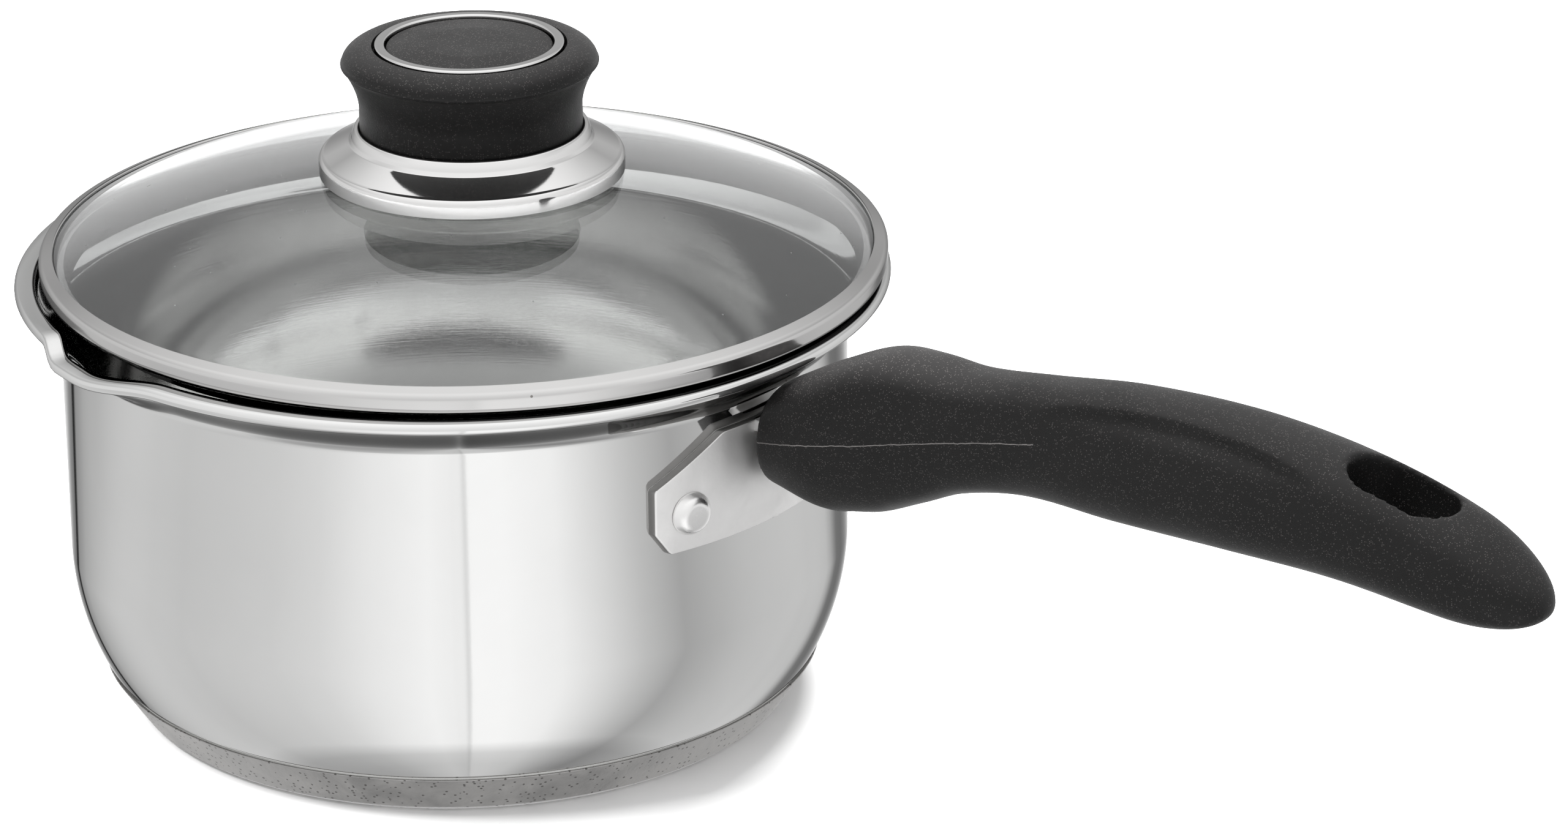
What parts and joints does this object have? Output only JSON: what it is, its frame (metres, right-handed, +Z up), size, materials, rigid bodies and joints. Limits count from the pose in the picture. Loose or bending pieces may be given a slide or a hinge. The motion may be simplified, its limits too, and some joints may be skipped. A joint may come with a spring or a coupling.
{
  "type": "saucepan with glass lid",
  "caption": "Round steel saucepan with a pouring lip, a riveted bracket, a long dark grip and a domed glass lid with a steel band and a round knob.",
  "frame": {"origin": "centre of the pan's flat underside, on the pan's axis", "axes": "+Z up the pan's axis, +X along the handle away from the pan, +Y to the right of a person who looks along the handle towards the pan"},
  "size_m": [0.3449, 0.1778, 0.1382],
  "materials": {
    "pan_steel": "mirror polished stainless steel",
    "base_steel": "satin, finely pitted stainless steel",
    "core_aluminium": "plain rolled",
    "bracket_steel": "satin stamped steel with fine specks and scratches",
    "rivet_steel": "polished",
    "phenolic": "matte dark phenolic with a fine grain",
    "band_steel": "polished stainless steel",
    "lid_glass": "clear toughened glass",
    "silicone": "matte",
    "washer_silicone": "matte, translucent white",
    "screw_steel": "plain",
    "insert_brass": "plain turned"
  },
  "bodies": {
    "pan": {"pan_body": "pan_steel", "base_core": "core_aluminium", "base_cap": "base_steel", "handle_bracket": "bracket_steel", "bracket_rivets": "rivet_steel", "handle_grip": "phenolic", "handle_screw": "screw_steel"},
    "lid": {"lid_band": "band_steel", "lid_glass": "lid_glass", "glass_seal": "silicone", "knob_collar": "band_steel", "knob_spacer": "phenolic", "knob_body": "phenolic", "knob_ring": "band_steel", "knob_cap": "phenolic", "knob_insert": "insert_brass", "knob_screw": "screw_steel", "screw_washer": "screw_steel", "seal_washer": "washer_silicone"}
  },
  "joints": [
    {"name": "lid_lift", "type": "slide", "parent": "pan", "child": "lid", "axis": [0, 0, 1], "range_m": [0, 0.12]}
  ]
}
